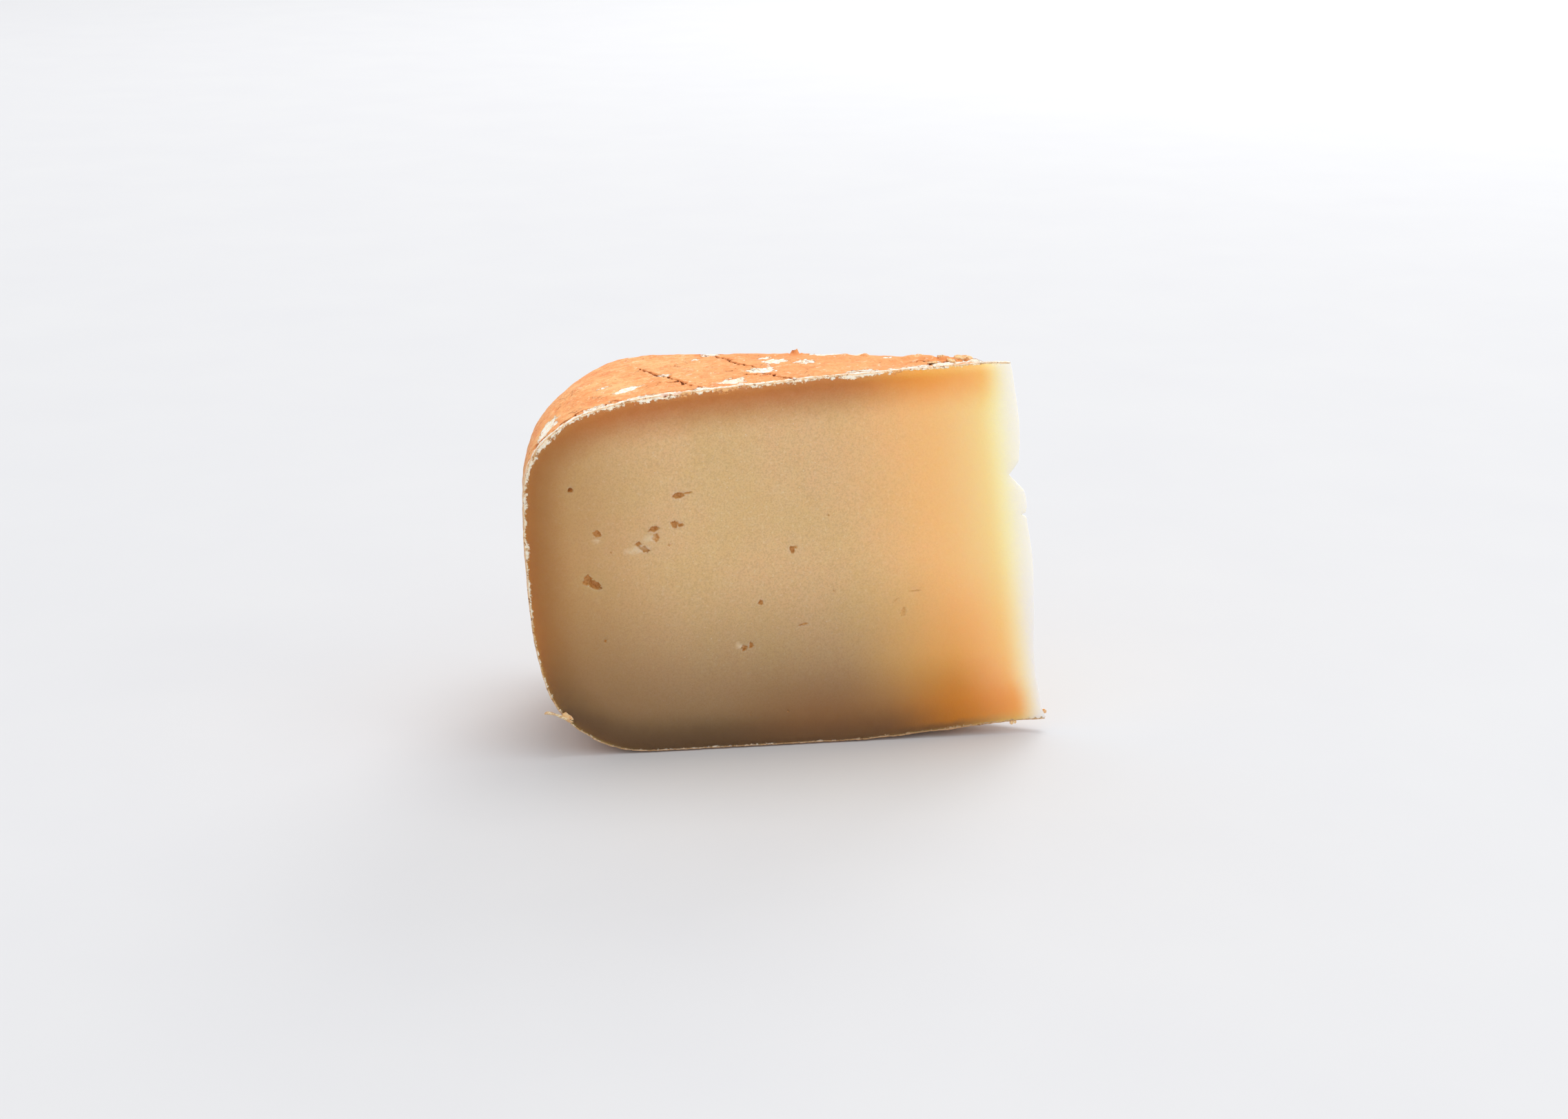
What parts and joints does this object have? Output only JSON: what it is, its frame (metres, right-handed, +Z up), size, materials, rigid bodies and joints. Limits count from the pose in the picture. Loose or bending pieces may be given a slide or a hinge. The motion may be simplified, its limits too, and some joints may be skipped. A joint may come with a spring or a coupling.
{
  "type": "cheese wedge",
  "caption": "Wedge cut from a washed-rind cheese wheel: two knife cuts with small open eyes, a domed rim and top of orange rind, a flat underside and a thin leaning edge.",
  "frame": {"origin": "centre of the bounding box in X and Y, at the height of the flat underside the wedge stands on", "axes": "+X along the front cut from the rim towards the thin edge, +Y from the front cut into the wedge, +Z up"},
  "size_m": [0.1298, 0.0594, 0.0954],
  "materials": {
    "cheese": "waxy, slightly translucent ivory paste with a dry orange rind a millimetre thick"
  },
  "bodies": {
    "root": {"cheese_wedge": "cheese"}
  },
  "joints": []
}
